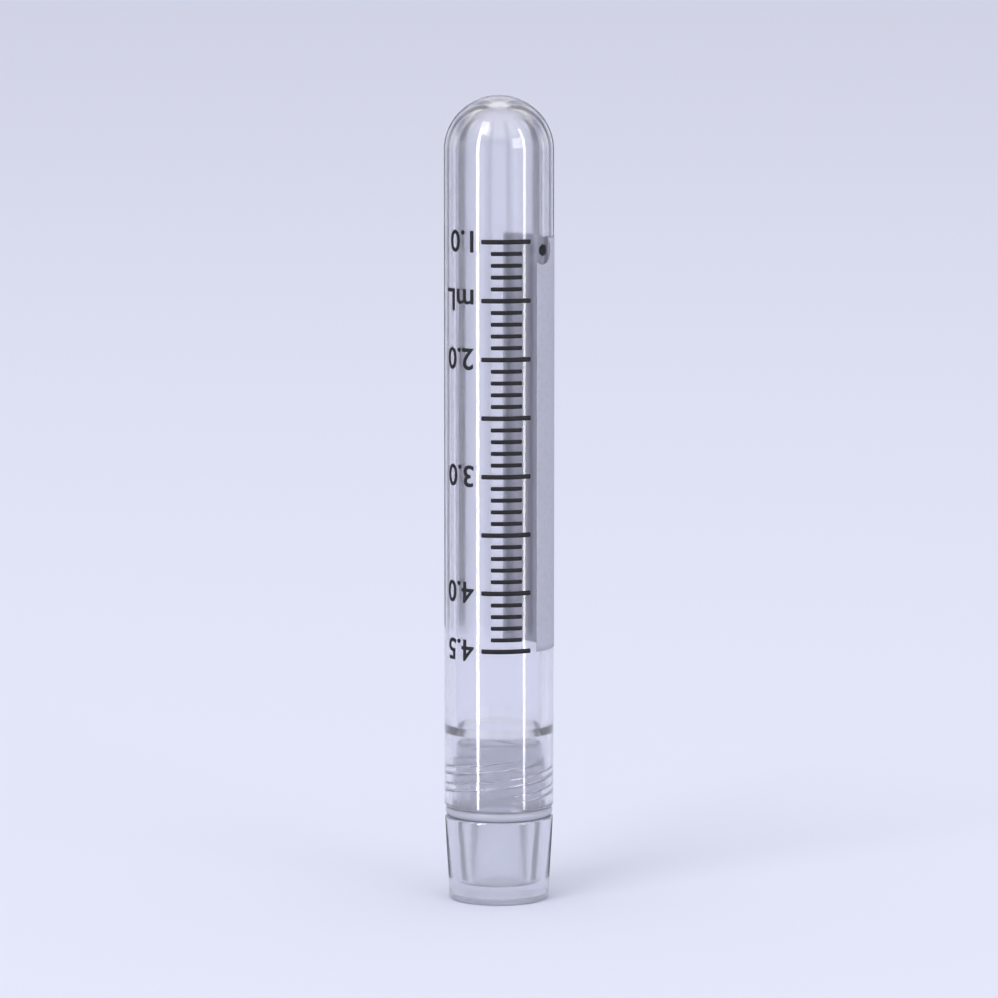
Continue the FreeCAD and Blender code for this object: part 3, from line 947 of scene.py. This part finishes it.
card_corners = []
for middle in (np.arange(RING_CARDS) + 0.5) * 360 / RING_CARDS:
    sides = (middle - RING_HALF, middle + RING_HALF)
    card_corners.append(card([(RING_DISTANCE, height, *sides) for height in (RING_LOW, RING_HIGH)]))
for hand in (-1, 1):
    card_corners.append(card([(distance, height, 180 + hand * near, 180 + hand * far)
                              for distance, height, near, far in HEAD_CARD]))
card_points = np.vstack(card_corners)
cards = put_mesh("black_cards", card_points, [np.arange(len(card_points)).reshape(-1, 4)])
cards.visible_camera = False
cards.visible_diffuse = False
cards.visible_shadow = False
black_card, card_tree = new_material("black_card")
card_skin = add_node(card_tree, "ShaderNodeBsdfPrincipled", {
    "Base Color": colour("101014"), "Roughness": 0.9})
add_node(card_tree, "ShaderNodeOutputMaterial", {"Surface": card_skin.outputs["BSDF"]})
cards.data.materials.append(black_card)

# %% [markdown]
# ## Lamps
#
# A big soft lamp from the upper left gives the vial its shadow, and a weaker one from the right fills
# it. Two narrow upright strips, one on each side, do one thing only: the round wall mirrors each of
# them as a thin white line from end to end. A wall turned by some angle mirrors what stands at twice
# that angle, so a strip 43 degrees aside makes its line about 22 degrees round the tube, in the gap
# between the numerals and the ticks. The strips light no floor. They don't show through the plastic
# either, only mirrored in it.

# %% Lamps
MIDDLE = (0, 0, (cad_low.z + cad_high.z) / 2)
# Each soft lamp: its name, its place, its width and height, and its power.
SOFT_LAMPS = [("key", (-0.9, -0.9, 1.5), 0.8, 0.8, 9.0), ("fill", (1.2, -1.8, 0.7), 1.2, 0.8, 8.0)]


def area_lamp(name, place, aim, width, height, power):
    """A rectangular lamp at a place, facing a point, with its width and height in metres."""
    data = bpy.data.lights.new(name, "AREA")
    data.shape = "RECTANGLE"
    data.size = width
    data.size_y = height
    data.energy = power
    lamp = bpy.data.objects.new(name, data)
    bpy.context.collection.objects.link(lamp)
    lamp.location = place
    lamp.rotation_mode = "QUATERNION"
    lamp.rotation_quaternion = (Vector(aim) - Vector(place)).to_track_quat("-Z", "Y")
    print(name, "gives", power, "W")
    return lamp


for name, place, width, height, power in SOFT_LAMPS:
    area_lamp(name, place, MIDDLE, width, height, power)

# %% Strips for the white lines
STRIP_DISTANCE = 62 * MM
STRIP_HEIGHT = 140 * MM
# Each strip: its name, how many degrees aside of the camera it stands, its width and its power.
STRIP_LAMPS = [("strip_left", -43, 6.0 * MM, 0.039), ("strip_right", 52, 5.2 * MM, 0.022)]

for name, aside, width, power in STRIP_LAMPS:
    strip_turn = math.radians(AZIMUTH + aside)
    across, ahead = math.sin(strip_turn), -math.cos(strip_turn)
    place = (STRIP_DISTANCE * across, STRIP_DISTANCE * ahead, STRIP_HEIGHT / 2)
    strip = area_lamp(name, place, (0, 0, STRIP_HEIGHT / 2), width, STRIP_HEIGHT, power)
    strip.visible_camera = False
    strip.visible_diffuse = False
    strip.visible_transmission = False

# %% [markdown]
# ## Camera
#
# The vial is seen almost square on, a little from the side of the numerals and a little from above. A
# long lens from some way off keeps its sides parallel. Standard colour management shows each colour
# about as it is written.

# %% Camera
ELEVATION = 7
CAMERA_DISTANCE = 0.6
LENS = 190

turn, lift = math.radians(AZIMUTH), math.radians(ELEVATION)
back = np.array([math.sin(turn) * math.cos(lift), -math.cos(turn) * math.cos(lift), math.sin(lift)])
camera_data = bpy.data.cameras.new("camera")
camera_data.lens = LENS
camera = bpy.data.objects.new("camera", camera_data)
bpy.context.collection.objects.link(camera)
camera.location = np.array(MIDDLE) + CAMERA_DISTANCE * back
camera.rotation_euler = (math.radians(90 - ELEVATION), 0, turn)
bpy.context.scene.camera = camera
bpy.context.scene.view_settings.view_transform = "Standard"
print("camera at", [round(value, 3) for value in camera.location])
